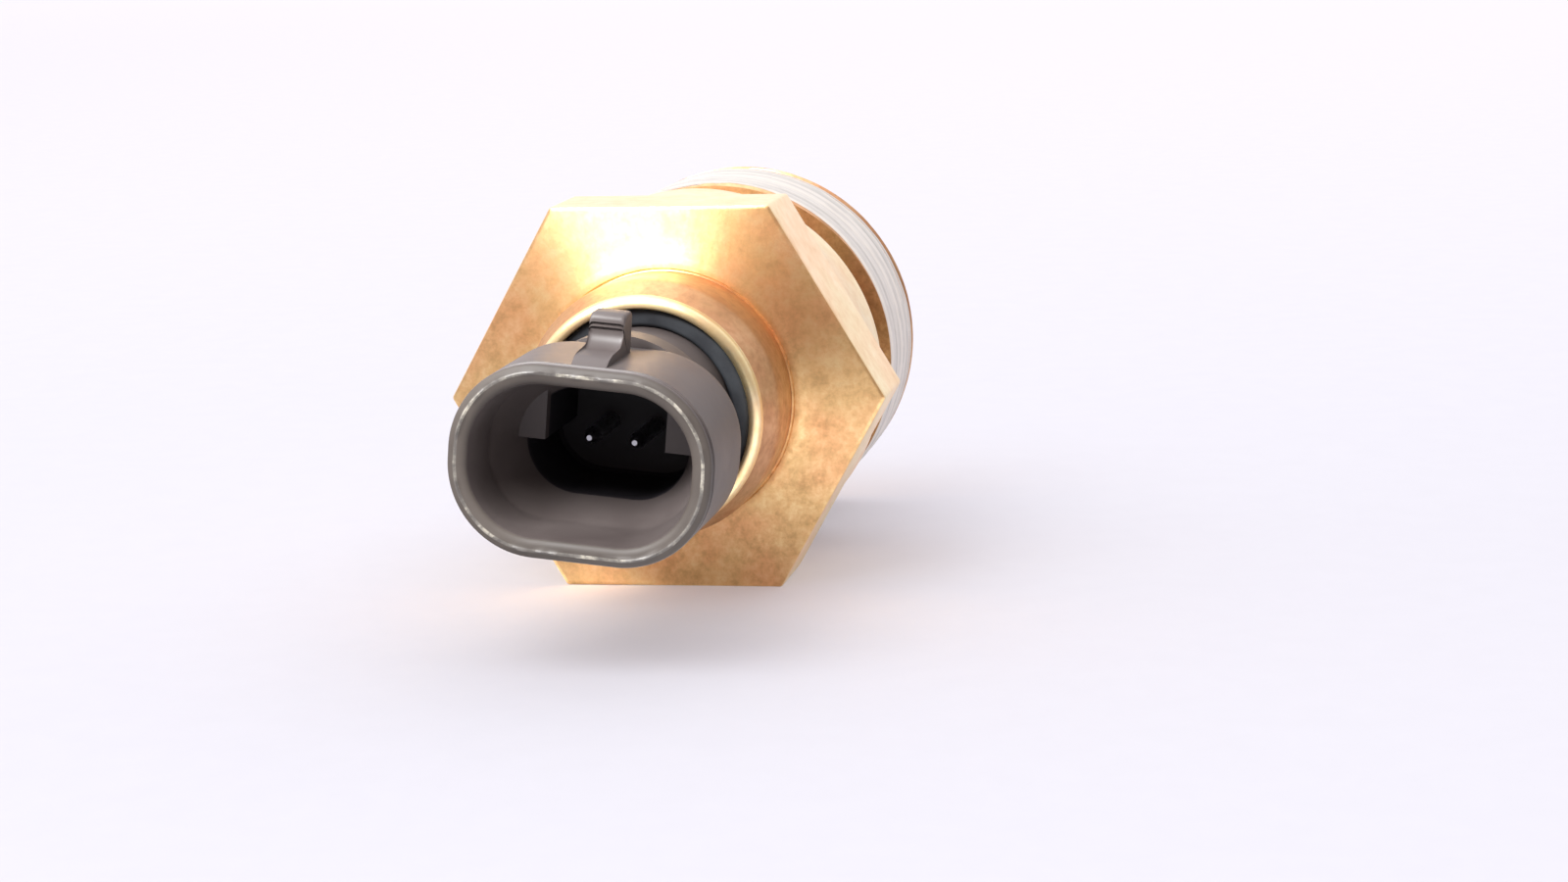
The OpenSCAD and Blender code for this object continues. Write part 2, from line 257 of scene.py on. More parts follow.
def thread_rows():
    """A helical V thread with a run-out at the relief and a chamfer at the port end."""
    per_pitch = 12
    length = PORT_END_Y - THREAD_Y
    count = int(length / PITCH * per_pitch)

    def row(y):
        def radius(a):
            phase = ((y - THREAD_Y) / PITCH - a / (2 * math.pi)) % 1.0
            # a V with its crest and its root cut flat
            depth = THREAD_DEPTH * min(1.0, max(0.0, 1.25 * (1 - abs(2 * phase - 1)) - 0.12))
            run_out = min(1.0, (y - THREAD_Y) / PITCH + 0.4)
            r = THREAD_R - depth * run_out
            return min(r, THREAD_R - THREAD_CHAMFER + (PORT_END_Y - y))

        return radius, fixed(y)

    return [row(THREAD_Y + length * i / count) for i in range(count + 1)]


def port_rows():
    """The port end, the bore and the passage to the socket's floor."""
    return [ring(PORT_FACE_R, PORT_END_Y), ring(PORT_R + 0.6 * MM, PORT_END_Y),
            ring(PORT_R + 0.1 * MM, PORT_END_Y - 0.1 * MM), ring(PORT_R, PORT_END_Y - 0.4 * MM),
            ring(PORT_R, PORT_TOP_Y), ring(PASSAGE_R, PORT_TOP_Y),
            ring(PASSAGE_R, SOCKET_FLOOR_Y), ring(SOCKET_R, SOCKET_FLOOR_Y)]


def body_rows():
    return collar_rows() + hex_rows() + shoulder_rows() + thread_rows() + port_rows()


def build_body(node):
    obj = loft(node + "_skin", body_rows(), hex_angles(), closed=True)
    shade(obj, 30)
    return obj


# ---------------------------------------------------------------- sealant

SEAL_UNDER_R = 12.5 * MM
SEAL_FRONT_GAP = 0.22 * MM
SEAL_REAR_GAP = 0.9 * MM
SEAL_ROUNDING = 0.35 * MM


def sealant_station(t):
    """Place along Y of a row of the film, between its two ragged edges."""
    def edge(a, seed):
        c, s = math.cos(a), math.sin(a)
        return (0.16 * noise_at(2 * c, 2 * s, seed) + 0.10 * noise_at(9 * c, 9 * s, seed)) * MM

    def station(a):
        low = THREAD_Y + SEAL_FRONT_GAP + edge(a, 3.0)
        high = SEAL_END_Y - SEAL_REAR_GAP + edge(a, 8.0)
        return low + (high - low) * t

    return station


def sealant_radius(t):
    """Outside of the film: lower along the thread's groove, lumpy, and rounded at its ends."""
    length = SEAL_END_Y - THREAD_Y

    def radius(a):
        y = THREAD_Y + length * t
        phase = ((y - THREAD_Y) / PITCH - a / (2 * math.pi)) % 1.0
        streak = max(0.0, 1 - abs(phase - 0.5) / 0.22)
        lump = noise_at(3 * math.cos(a), 3 * math.sin(a), 900 * y)
        fine = noise_at(14 * math.cos(a), 14 * math.sin(a), 2500 * y)
        skin = SEAL_HIGH[0] - (0.035 + 0.07 * streak ** 2 - 0.02 * lump - 0.012 * fine) * MM
        close = min(t, 1 - t) * length / SEAL_ROUNDING
        return skin - 0.16 * MM * (1 - min(1.0, close)) ** 2

    return radius


def build_sealant(node):
    """Waxy film over the thread."""
    steps = 84
    angles = [math.radians(1.25 * i) for i in range(288)]
    rows = [(sealant_radius(i / steps), sealant_station(i / steps)) for i in range(steps + 1)]
    rows += [(fixed(SEAL_UNDER_R), sealant_station(1)), (fixed(SEAL_UNDER_R), sealant_station(0))]
    obj = loft(node + "_skin", rows, angles, closed=True)
    shade(obj, 50)
    return obj


# ---------------------------------------------------------------- connector housing

# Ovals are (width, height, corner radius)
SHROUD = (17.1 * MM, 12.5 * MM, 5.85 * MM)
WALL = 1.3 * MM
POCKET = (10.7 * MM, 7.0 * MM, 3.49 * MM)
SHROUD_REAR_Y = MOUTH_Y + 9.9 * MM
SHROUD_EDGE = 0.7 * MM
BASE_R = 6.75 * MM
BASE_END_Y = SHROUD_REAR_Y + 3 * MM
NECK_R = 6.1 * MM
FLANGE_R = 7.85 * MM
SKIRT_R = 6.7 * MM
SKIRT_END_Y = HEX_Y + 4.6 * MM
# Depths in the cavity, in millimetres: its step, the taper to the pocket, the pocket's floor
CAVITY_STEP = 4.2
POCKET_TAPER = 4.1
POCKET_FLOOR = 15.5
# Corner of the index blocks, which fill the upper corners of the cavity
INDEX_X = 4.0 * MM
INDEX_Z = 3.5 * MM
FLASH_MAX = 0.15 * MM
RIM_FLATNESS = 0.62
# Where the torn line on the rim lies, in halves of the wall from the outside
FLASH_FROM, FLASH_TO = 0.70, 0.94
# How far behind the mouth reach the torn line, whose pale patches are painted highlights, the rim,
# painted darker as shade, and the pocket, painted near black as shade
FLASH_DEPTH = 0.4 * MM
RIM_SHADE_DEPTH = 0.42 * MM
POCKET_SHADE = (7.9 * MM, 15.6 * MM)


def oval_radius(width, height, corner):
    """Distance from the axis to a rectangle with round corners, at an angle."""
    cx, cy = width / 2 - corner, height / 2 - corner

    def radius(a):
        c, s = abs(math.cos(a)), abs(math.sin(a))
        if c > 1e-9 and width / 2 / c * s <= cy:
            return width / 2 / c
        if s > 1e-9 and height / 2 / s * c <= cx:
            return height / 2 / s
        along = c * cx + s * cy
        return along + math.sqrt(max(0.0, along ** 2 - cx ** 2 - cy ** 2 + corner ** 2))

    return radius


def smaller(oval, inset):
    """The oval moved inwards all round."""
    width, height, corner = oval
    return width - 2 * inset, height - 2 * inset, corner - inset


def oval_row(inset, station):
    return oval_radius(*smaller(SHROUD, inset)), fixed(station)


def mixed(a_size, b_size, t):
    return [a + (b - a) * t for a, b in zip(a_size, b_size)]


def with_index(radius):
    """The cavity section with the upper corners filled by the two index blocks."""
    def blocked(a):
        r = radius(a)
        if math.sin(a) > 0 and abs(r * math.cos(a)) > INDEX_X:
            return INDEX_X / abs(math.cos(a))
        return r
    return blocked


def rim_rows():
    """Rounded rim with the thin, uneven flash line that the mould left on its crest."""
    rows = []
    steps = 18
    half = WALL / 2
    for i in range(steps + 1):
        t = math.pi * i / steps

        def station(a, t=t):
            c, s = math.cos(a), math.sin(a)
            # a narrow ridge that wanders near the crest, torn to an uneven height
            lift = math.exp(-((math.degrees(t) - 78 - 14 * noise_at(5 * c, 5 * s, 9.0)) / 11) ** 2)
            rough = 0.07 + 0.16 * noise_at(9 * c, 9 * s, 1.5) + 0.07 * noise_at(26 * c, 26 * s, 4.0)
            crest = half * RIM_FLATNESS * (1 - math.sin(t)) + FLASH_MAX
            return MOUTH_Y + crest - lift * min(max(rough * MM, 0), FLASH_MAX)

        inset = half * (1 - math.cos(t))
        rows.append((oval_radius(*smaller(SHROUD, inset)), station))
    return rows


def neck_rows():
    """From inside the skirt, round the flange and the neck, to the back of the shroud."""
    rows = [ring(SKIRT_R, HEX_Y - 1.0 * MM), ring(SKIRT_R, SKIRT_END_Y),
            ring(FLANGE_R, SKIRT_END_Y), ring(FLANGE_R, FLANGE_Y),
            ring(NECK_R, FLANGE_Y), ring(NECK_R, BASE_END_Y)]
    rows += [ring(BASE_R - 0.3 * MM, BASE_END_Y), ring(BASE_R - 0.08 * MM, BASE_END_Y - 0.1 * MM),
             ring(BASE_R, BASE_END_Y - 0.35 * MM), ring(BASE_R, SHROUD_REAR_Y + 0.5 * MM),
             ring(BASE_R + 0.1 * MM, SHROUD_REAR_Y + 0.15 * MM)]
    return rows


def shroud_rows():
    """Outside of the shroud: rounded rear edge, straight wall, parting groove behind the rim."""
    rows = []
    for i in range(7):
        t = math.radians(15 * i)
        rows.append(oval_row(SHROUD_EDGE * (1 - math.sin(t)),
                             SHROUD_REAR_Y + 0.02 * MM - SHROUD_EDGE * (1 - math.cos(t))))
    rows += [oval_row(0, SHROUD_REAR_Y - 1.2 * MM), oval_row(0, MOUTH_Y + 5 * MM),
             oval_row(0, MOUTH_Y + 1.5 * MM)]
    rows += [oval_row(inset * MM, MOUTH_Y + depth * MM) for inset, depth in (
        (0.0, 1.25), (0.20, 1.12), (0.26, 0.95), (0.20, 0.80), (0.04, 0.72))]
    return rows


def cavity_rows():
    """The cavity from the mouth down to the pocket's floor. Depths are millimetres."""
    inner = smaller(SHROUD, WALL)
    step = smaller(inner, 0.35 * MM)

    def pocket(depth):
        t = min(1.0, max(0.0, (depth - CAVITY_STEP) / POCKET_TAPER))
        return oval_radius(*mixed(step, POCKET, t))

    rows = [(oval_radius(*mixed(inner, step, depth / CAVITY_STEP)), fixed(MOUTH_Y + depth * MM))
            for depth in (0.9, 1.6, 2.6, 3.6)]
    rows += [(pocket(depth), fixed(MOUTH_Y + depth * MM))
             for depth in (4.0, 4.2, 4.5, 5.2, 6.0, 6.8, 7.18)]
    rows += [(with_index(pocket(depth)), fixed(MOUTH_Y + depth * MM))
             for depth in (7.2, 7.4, 8.1, 8.3, 8.5, 9.5, 12.0, 15.2)]
    floor = oval_radius(*smaller(POCKET, 0.25 * MM))
    rows.append((with_index(floor), fixed(MOUTH_Y + POCKET_FLOOR * MM)))
    return rows


def housing_rows():
    return neck_rows() + shroud_rows() + rim_rows() + cavity_rows()


def housing_angles():
    """Columns of the housing: close pairs where the index blocks start, one on each corner."""
    count = 240
    tiny = math.radians(0.04)
    angles = [2 * math.pi * i / count for i in range(count)]
    angles = [a for a in angles if min(abs(a), abs(a - math.pi), abs(a - 2 * math.pi)) > 1e-6]
    block = math.atan2(INDEX_Z, INDEX_X)
    angles += [tiny, -tiny % (2 * math.pi), math.pi - tiny, math.pi + tiny, block, math.pi - block]
    return sorted(angles)


def nib_profile():
    """Side view of the lock nib in (height, station): pad, round fillet and wavy tooth."""
    top = SHROUD[1] / 2
    face = MOUTH_Y + 5.7 * MM
    back = face + 2.3 * MM
    pad, fillet, crown, rise = 0.45 * MM, 1.15 * MM, 0.55 * MM, 2.7 * MM
    steps = 18
    points = [(top - 1.0 * MM, back), (top - 1.0 * MM, MOUTH_Y + 1.1 * MM),
              (top - 0.1 * MM, MOUTH_Y + 1.2 * MM), (top + pad * 0.6, MOUTH_Y + 1.9 * MM),
              (top + pad, MOUTH_Y + 2.6 * MM)]
    low, high = top + pad + fillet, top + rise - crown
    points += arc_points(low, face - fillet, fillet, 180, 90, 8)
    # shallow waves on the tooth's front
    points += [(low + (high - low) * i / steps,
                face + 0.11 * MM * math.sin(3.6 * math.pi * i / steps)) for i in range(1, steps)]
    points += arc_points(high, face + crown, crown, -90, 0, 6)
    points += arc_points(high, back - crown, crown, 0, 90, 6)
    return points


def build_nib():
    """The profile pushed across the nib's width, with its side edges rounded off."""
    profile = [Vector(point) for point in nib_profile()]
    half = 1.15 * MM
    edge = 0.28 * MM
    centre = sum(profile, Vector((0, 0))) / len(profile)
    side = [(-half, edge), (-half + 0.1 * edge, 0.55 * edge), (-half + 0.4 * edge, 0.16 * edge),
            (-half + edge, 0)]
    layers = side + [(-x, inset) for x, inset in reversed(side)]
    n = len(profile)
    verts, faces = [], []
    for x, inset in layers:
        for point in profile:
            p = point + (centre - point).normalized() * inset
            verts.append((x * math.cos(ROLL) + p.x * math.sin(ROLL), p.y,
                          p.x * math.cos(ROLL) - x * math.sin(ROLL)))
    for i in range(len(layers) - 1):
        for j in range(n):
            k = (j + 1) % n
            faces.append((i * n + j, i * n + k, (i + 1) * n + k, (i + 1) * n + j))
    faces.append(tuple(reversed(range(n))))
    faces.append(tuple((len(layers) - 1) * n + j for j in range(n)))
    return new_object("lock_nib", verts, faces)


def join(main, other):
    """Makes the other object a part of the main one."""
    bpy.ops.object.select_all(action="DESELECT")
    for obj in (main, other):
        obj.select_set(True)
    bpy.context.view_layer.objects.active = main
    bpy.ops.object.join()


def outward(obj):
    """Makes every shell's faces point outwards."""
    bpy.ops.object.select_all(action="DESELECT")
    obj.select_set(True)
    bpy.context.view_layer.objects.active = obj
    bpy.ops.object.mode_set(mode="EDIT")
    bpy.ops.mesh.select_all(action="SELECT")
    bpy.ops.mesh.normals_make_consistent(inside=False)
    bpy.ops.object.mode_set(mode="OBJECT")


def build_housing(_node):
    """The connector as one skin, with its lock nib joined on."""
    obj = loft("connector_skin", housing_rows(), housing_angles(), turn=ROLL)
    join(obj, build_nib())
    outward(obj)
    shade(obj, 34)
    return obj


# ---------------------------------------------------------------- gasket

GASKET_CROWN = 0.3 * MM
GASKET_INNER_R = 6.16 * MM
GASKET_OUTER_R = 7.36 * MM
GASKET_FOOT_R = 7.84 * MM
GASKET_FRONT_Y = HEX_Y - 7.0 * MM


def build_gasket(node):
    """Rubber ring between the lip and the connector's neck, with a soft crown."""
    crown_y = GASKET_FRONT_Y + GASKET_CROWN
    foot_y = FLANGE_Y - 0.02 * MM
    angles = [math.radians(2 * i) for i in range(180)]
    rows = [ring(GASKET_INNER_R, LIP_UNDER_Y)]
    rows += arc_rows(GASKET_INNER_R + GASKET_CROWN, crown_y, GASKET_CROWN, 180, 270, 5)
    rows += arc_rows(GASKET_OUTER_R - GASKET_CROWN, crown_y, GASKET_CROWN, 270, 360, 5)
    rows += [ring(GASKET_OUTER_R, LIP_UNDER_Y), ring(GASKET_FOOT_R, LIP_UNDER_Y + 0.02 * MM),
             ring(GASKET_FOOT_R, foot_y), ring(GASKET_INNER_R, foot_y)]
    obj = loft(node + "_skin", rows, angles, closed=True)
    outward(obj)
    shade(obj, 40)
    return obj


# ---------------------------------------------------------------- copies of CAD shapes

# Share of the CAD's width that the flat on the end of a pin keeps
TIP_FLAT = 0.65


def build_copy(node):
    """The CAD shape as a piece of its own, free to be changed."""
    source = frame["nodes"][node]
    verts = [tuple(source.matrix_world @ v.co) for v in source.data.vertices]
    faces = [tuple(p.vertices) for p in source.data.polygons]
    obj = new_object(node + "_skin", verts, faces)
    shade(obj, 30)
    return obj


def build_terminal(node):
    """The terminal with the flat on the end of its pin drawn in, as a formed pin tip is."""
    obj = build_copy(node)
    tip = min(v.co.y for v in obj.data.vertices)
    end = [v for v in obj.data.vertices if v.co.y < tip + 0.05 * MM]
    middle = sum((v.co for v in end), Vector()) / len(end)
    for v in end:
        v.co.x = middle.x + TIP_FLAT * (v.co.x - middle.x)
        v.co.z = middle.z + TIP_FLAT * (v.co.z - middle.z)
    return obj


def flex_with_piston(obj, node):
    """Finds the spring or the disc among the nodes that the piston's slide deforms, and gives it a mesh
    of its own.
    """
    joint = next(j for j in frame["record"]["behaviour"]["joints"] if j["name"] == "piston_slide")
    part = next(p for p in joint["deforming_nodes"] if p["node"] == node)
    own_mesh(obj)


# ---------------------------------------------------------------- material helpers

def new_material(name):
    mat = bpy.data.materials.new(name)
    mat.use_nodes = True
    nodes = mat.node_tree.nodes
    return mat, nodes, mat.node_tree.links, nodes["Principled BSDF"]


def object_coords(nodes, links, scale=(1, 1, 1)):
    coord = nodes.new("ShaderNodeTexCoord")
    mapping = nodes.new("ShaderNodeMapping")
    mapping.inputs["Scale"].default_value = scale
    links.new(coord.outputs["Object"], mapping.inputs["Vector"])
    return mapping.outputs["Vector"]


def noise_tex(nodes, links, vector, scale, detail=3.0, rough=0.5):
    tex = nodes.new("ShaderNodeTexNoise")
    tex.inputs["Scale"].default_value = scale
    tex.inputs["Detail"].default_value = detail
    tex.inputs["Roughness"].default_value = rough
    links.new(vector, tex.inputs["Vector"])
    return tex.outputs["Fac"]


def ramp(nodes, links, fac, stops):
    node = nodes.new("ShaderNodeValToRGB")
    elements = node.color_ramp.elements
    while len(elements) < len(stops):
        elements.new(0.5)
    for element, (pos, colour) in zip(elements, stops):
        element.position = pos
        element.color = (*colour, 1)
    links.new(fac, node.inputs["Fac"])
    return node.outputs["Color"]


def map_range(nodes, links, fac, low, high, out_low, out_high):
    node = nodes.new("ShaderNodeMapRange")
    node.inputs["From Min"].default_value = low
    node.inputs["From Max"].default_value = high
    node.inputs["To Min"].default_value = out_low
    node.inputs["To Max"].default_value = out_high
    links.new(fac, node.inputs["Value"])
    return node.outputs["Result"]


def bump(nodes, links, height, strength, distance, normal=None):
    node = nodes.new("ShaderNodeBump")
    node.inputs["Strength"].default_value = strength
    node.inputs["Distance"].default_value = distance
    links.new(height, node.inputs["Height"])
    if normal is not None:
        links.new(normal, node.inputs["Normal"])
    return node.outputs["Normal"]


def math_node(nodes, links, operation, a, b=None):
    node = nodes.new("ShaderNodeMath")
    node.operation = operation
    for i, value in enumerate((a, b)):
        if value is None:
            continue
        if isinstance(value, (int, float)):
            node.inputs[i].default_value = value
        else:
            links.new(value, node.inputs[i])
    return node.outputs[0]


def axis_radius(nodes, links, vector):
    """Distance from the Y axis as a socket, and the node that splits the vector."""
    split = nodes.new("ShaderNodeSeparateXYZ")
    links.new(vector, split.inputs[0])
    xx = math_node(nodes, links, "MULTIPLY", split.outputs["X"], split.outputs["X"])
    zz = math_node(nodes, links, "MULTIPLY", split.outputs["Z"], split.outputs["Z"])
    return math_node(nodes, links, "SQRT", math_node(nodes, links, "ADD", xx, zz)), split


def rings_tex(nodes, links, radius, station, per_metre, wobble):
    """Fine tool marks: noise stretched round the axis, read along radius and station."""
    combine = nodes.new("ShaderNodeCombineXYZ")
    links.new(math_node(nodes, links, "MULTIPLY", radius, per_metre), combine.inputs[0])
    links.new(math_node(nodes, links, "MULTIPLY", station, per_metre), combine.inputs[1])
    links.new(wobble, combine.inputs[2])
    return noise_tex(nodes, links, combine.outputs[0], 1.0, 4.0, 0.6)


def mottle(nodes, links, vector, colours, scale):
    """Cloudy patches broken up by a fine speckle, drifting between copper and yellow-green.

    Gives the colour and the patches themselves.
    """
    cloud = noise_tex(nodes, links, vector, scale, 5, 0.62)
    speckle = noise_tex(nodes, links, vector, 4.5 * scale, 4, 0.65)
    both = math_node(nodes, links, "ADD", math_node(nodes, links, "MULTIPLY", cloud, 0.6),
                     math_node(nodes, links, "MULTIPLY", speckle, 0.4))
    low, middle, high = colours
    base = ramp(nodes, links, both, ((0.36, low), (0.50, middle), (0.64, high)))
    drift = noise_tex(nodes, links, vector, 0.45 * scale, 3, 0.5)
    tint = nodes.new("ShaderNodeMix")
    tint.data_type = "RGBA"
    tint.blend_type = "MULTIPLY"
    tint.inputs["Factor"].default_value = 1.0
    links.new(base, tint.inputs["A"])
    links.new(ramp(nodes, links, drift, ((0.40, (1.0, 0.93, 0.86)), (0.62, (0.95, 1.0, 0.90)))),
              tint.inputs["B"])
    return tint.outputs["Result"], both


def round_tangent(nodes, links, bsdf, strength):
    """Gloss stretched across tool marks that run round the Y axis."""
    tangent = nodes.new("ShaderNodeTangent")
    tangent.direction_type = "RADIAL"
    tangent.axis = "Y"
    links.new(tangent.outputs[0], bsdf.inputs["Tangent"])
    bsdf.inputs["Anisotropic"].default_value = strength
    bsdf.inputs["Anisotropic Rotation"].default_value = 0.25


def brass(name, colours, rough, scale, aniso, marks_per_metre, drawn=False):
    """Brass with mottling, and tool marks round the axis, or along it on drawn flats."""
    mat, nodes, links, bsdf = new_material(name)
    vector = object_coords(nodes, links)
    radius, split = axis_radius(nodes, links, vector)
    colour, patches = mottle(nodes, links, vector, colours, scale)
    if drawn:
        along = object_coords(nodes, links, (1, 0.06, 1))
        marks = noise_tex(nodes, links, along, marks_per_metre, 4, 0.65)
    else:
        drift = noise_tex(nodes, links, vector, 420, 3, 0.6)
        marks = rings_tex(nodes, links, radius, split.outputs["Y"], marks_per_metre,
                          math_node(nodes, links, "MULTIPLY", drift, 5.0))
    links.new(colour, bsdf.inputs["Base Color"])
    links.new(map_range(nodes, links, patches, 0.35, 0.65, rough + 0.07, rough - 0.05),
              bsdf.inputs["Roughness"])
    bsdf.inputs["Metallic"].default_value = 1.0
    if aniso > 0:
        round_tangent(nodes, links, bsdf, aniso)
    fine = bump(nodes, links, marks, 0.16, 0.02 * MM)
    pits = noise_tex(nodes, links, vector, 3.2 * scale, 4, 0.65)
    links.new(bump(nodes, links, pits, 0.22, 0.05 * MM, fine), bsdf.inputs["Normal"])
    return mat


def plastic(name, base, lift, rough, grain=1600):
    """Moulded plastic: fine grain, flow marks and a slow drift in colour and gloss."""
    mat, nodes, links, bsdf = new_material(name)
    vector = object_coords(nodes, links)
    slow = noise_tex(nodes, links, vector, 180, 4, 0.6)
    fine = noise_tex(nodes, links, vector, grain, 3, 0.6)
    links.new(ramp(nodes, links, slow, ((0.32, base), (0.7, lift))), bsdf.inputs["Base Color"])
    links.new(map_range(nodes, links, slow, 0.3, 0.7, rough - 0.06, rough + 0.07),
              bsdf.inputs["Roughness"])
    bsdf.inputs["Specular IOR Level"].default_value = 0.4
    flow = noise_tex(nodes, links, object_coords(nodes, links, (1, 0.25, 1)), 420, 3, 0.5)
    first = bump(nodes, links, flow, 0.18, 0.06 * MM)
    links.new(bump(nodes, links, fine, 0.2, 0.02 * MM, first), bsdf.inputs["Normal"])
    return mat


def flash_material():
    """Thin torn plastic along the rim's crest: the tears are in its bumps, and its pale patches are
    painted highlights, dark between.
    """
    mat, nodes, links, bsdf = new_material("housing_flash_line_painted_glints")
    vector = object_coords(nodes, links)
    torn_and_glints = noise_tex(nodes, links, vector, 650, 5, 0.7)
    colour = ramp(nodes, links, torn_and_glints, ((0.44, (0.07, 0.062, 0.056)), (0.54, (0.12, 0.11, 0.095)),
                                       (0.62, (0.26, 0.24, 0.20))))
    links.new(colour, bsdf.inputs["Base Color"])
    links.new(map_range(nodes, links, torn_and_glints, 0.4, 0.65, 0.55, 0.38), bsdf.inputs["Roughness"])
    links.new(bump(nodes, links, torn_and_glints, 0.5, 0.06 * MM), bsdf.inputs["Normal"])
    return mat


def sealant_material():
    """White waxy film that thins to grey in streaks round the axis."""
    mat, nodes, links, bsdf = new_material("thread_sealant_film")
    vector = object_coords(nodes, links)
    radius, split = axis_radius(nodes, links, vector)
    blotch = noise_tex(nodes, links, vector, 260, 4, 0.6)
    streaks = rings_tex(nodes, links, radius, split.outputs["Y"], 900,
                        math_node(nodes, links, "MULTIPLY", blotch, 1.6))
    colour = ramp(nodes, links, streaks, ((0.30, (0.46, 0.435, 0.395)), (0.44, (0.62, 0.59, 0.545)),
                                          (0.56, (0.75, 0.71, 0.65)), (0.70, (0.85, 0.79, 0.70))))
    links.new(colour, bsdf.inputs["Base Color"])
    links.new(map_range(nodes, links, blotch, 0.3, 0.7, 0.38, 0.6), bsdf.inputs["Roughness"])
    bsdf.inputs["Subsurface Weight"].default_value = 0.08
    bsdf.inputs["Subsurface Radius"].default_value = (MM, MM, MM)
    bsdf.inputs["Subsurface Scale"].default_value = 0.4
    links.new(bump(nodes, links, streaks, 0.5, 0.1 * MM), bsdf.inputs["Normal"])
    return mat


def rubber_material():
    """Black rubber with a dusty bloom."""
    mat, nodes, links, bsdf = new_material("seal_rubber_matt")
    vector = object_coords(nodes, links)
    dust = noise_tex(nodes, links, vector, 500, 4, 0.6)
    colour = ramp(nodes, links, dust, ((0.35, (0.009, 0.010, 0.013)),
                                       (0.75, (0.024, 0.027, 0.031))))
    links.new(colour, bsdf.inputs["Base Color"])
    links.new(map_range(nodes, links, dust, 0.3, 0.7, 0.55, 0.8), bsdf.inputs["Roughness"])
    bsdf.inputs["Specular IOR Level"].default_value = 0.3
    grain = noise_tex(nodes, links, vector, 2500, 2, 0.5)
    links.new(bump(nodes, links, grain, 0.25, 0.02 * MM), bsdf.inputs["Normal"])
    return mat


def metal(name, base, dark, rough, grain=3000):
    """Plain metal for pins, springs and inner parts: a soft satin with faint stains."""
    mat, nodes, links, bsdf = new_material(name)
    vector = object_coords(nodes, links)
    stain = noise_tex(nodes, links, vector, 700, 3, 0.5)
    fine = noise_tex(nodes, links, vector, grain, 3, 0.6)
    links.new(ramp(nodes, links, stain, ((0.35, dark), (0.62, base))), bsdf.inputs["Base Color"])
    links.new(map_range(nodes, links, fine, 0.3, 0.7, rough - 0.04, rough + 0.06),
              bsdf.inputs["Roughness"])
    bsdf.inputs["Metallic"].default_value = 1.0
    links.new(bump(nodes, links, fine, 0.08, 0.01 * MM), bsdf.inputs["Normal"])
    return mat


def film_material():
    """Smooth amber film of the diaphragm."""
    mat, nodes, links, bsdf = new_material("diaphragm_film_amber")
    vector = object_coords(nodes, links)
    slow = noise_tex(nodes, links, vector, 250, 3, 0.5)
    colour = ramp(nodes, links, slow, ((0.3, (0.42, 0.17, 0.02)), (0.7, (0.62, 0.30, 0.05))))
    links.new(colour, bsdf.inputs["Base Color"])
    links.new(map_range(nodes, links, slow, 0.3, 0.7, 0.18, 0.3), bsdf.inputs["Roughness"])
    return mat


def dress(obj, *mats):
    obj.data.materials.clear()
    for mat in mats:
        obj.data.materials.append(mat)


def zone_body(obj):
    """Which of BODY_KEYS each face of the body wears."""
    turned, drawn, collar, relief_shade, lip = range(len(BODY_KEYS))
    for face in obj.data.polygons:
        y = face.center.y
        reach = math.hypot(face.center.x, face.center.z)
        index = turned
        if y < LIP_INNER_Y:
            index = lip
        elif y < HEX_Y and reach < COLLAR_FOOT_R:
            index = collar
        elif y > THREAD_Y:
            # the thread and the bore, but not the face of the port end
            if reach > RELIEF_R or y < PORT_END_Y - 0.1 * MM:
                index = collar
        elif y > SHOULDER_Y - 0.02 * MM:
            # the relief groove: its darker brass is painted shade
            index = relief_shade
        elif y > HEX_Y + 0.1 * MM and reach > SHOULDER_R * 0.97:
            # the hexagon's flats and the shoulder's rim
            index = drawn
        face.material_index = index


def zone_housing(obj):
    """Which of HOUSING_KEYS each face of the connector wears."""
    outer, flash, pocket, rim = range(len(HOUSING_KEYS))
    near = oval_radius(*smaller(SHROUD, FLASH_FROM * WALL / 2))
    far = oval_radius(*smaller(SHROUD, FLASH_TO * WALL / 2))
    inside = oval_radius(*smaller(SHROUD, WALL))
    for face in obj.data.polygons:
        depth = face.center.y - MOUTH_Y
        a = math.atan2(face.center.z, face.center.x) + ROLL
        reach = math.hypot(face.center.x, face.center.z)
        index = outer
        if depth < FLASH_DEPTH and far(a) < reach < near(a):
            # the torn line on the crest, with pale patches painted on as highlights
            index = flash
        elif depth < RIM_SHADE_DEPTH:
            # the rim, painted in a darker plastic as shade
            index = rim
        elif POCKET_SHADE[0] < depth < POCKET_SHADE[1] and reach < inside(a):
            # the deep pocket, painted near black as shade
            index = pocket
        face.material_index = index


# ---------------------------------------------------------------- assembly

# Materials of the two skins with more than one, in the order of their slots
BODY_KEYS = ("turned", "drawn", "collar", "relief_shade", "lip")
HOUSING_KEYS = ("housing", "flash", "pocket", "rim")

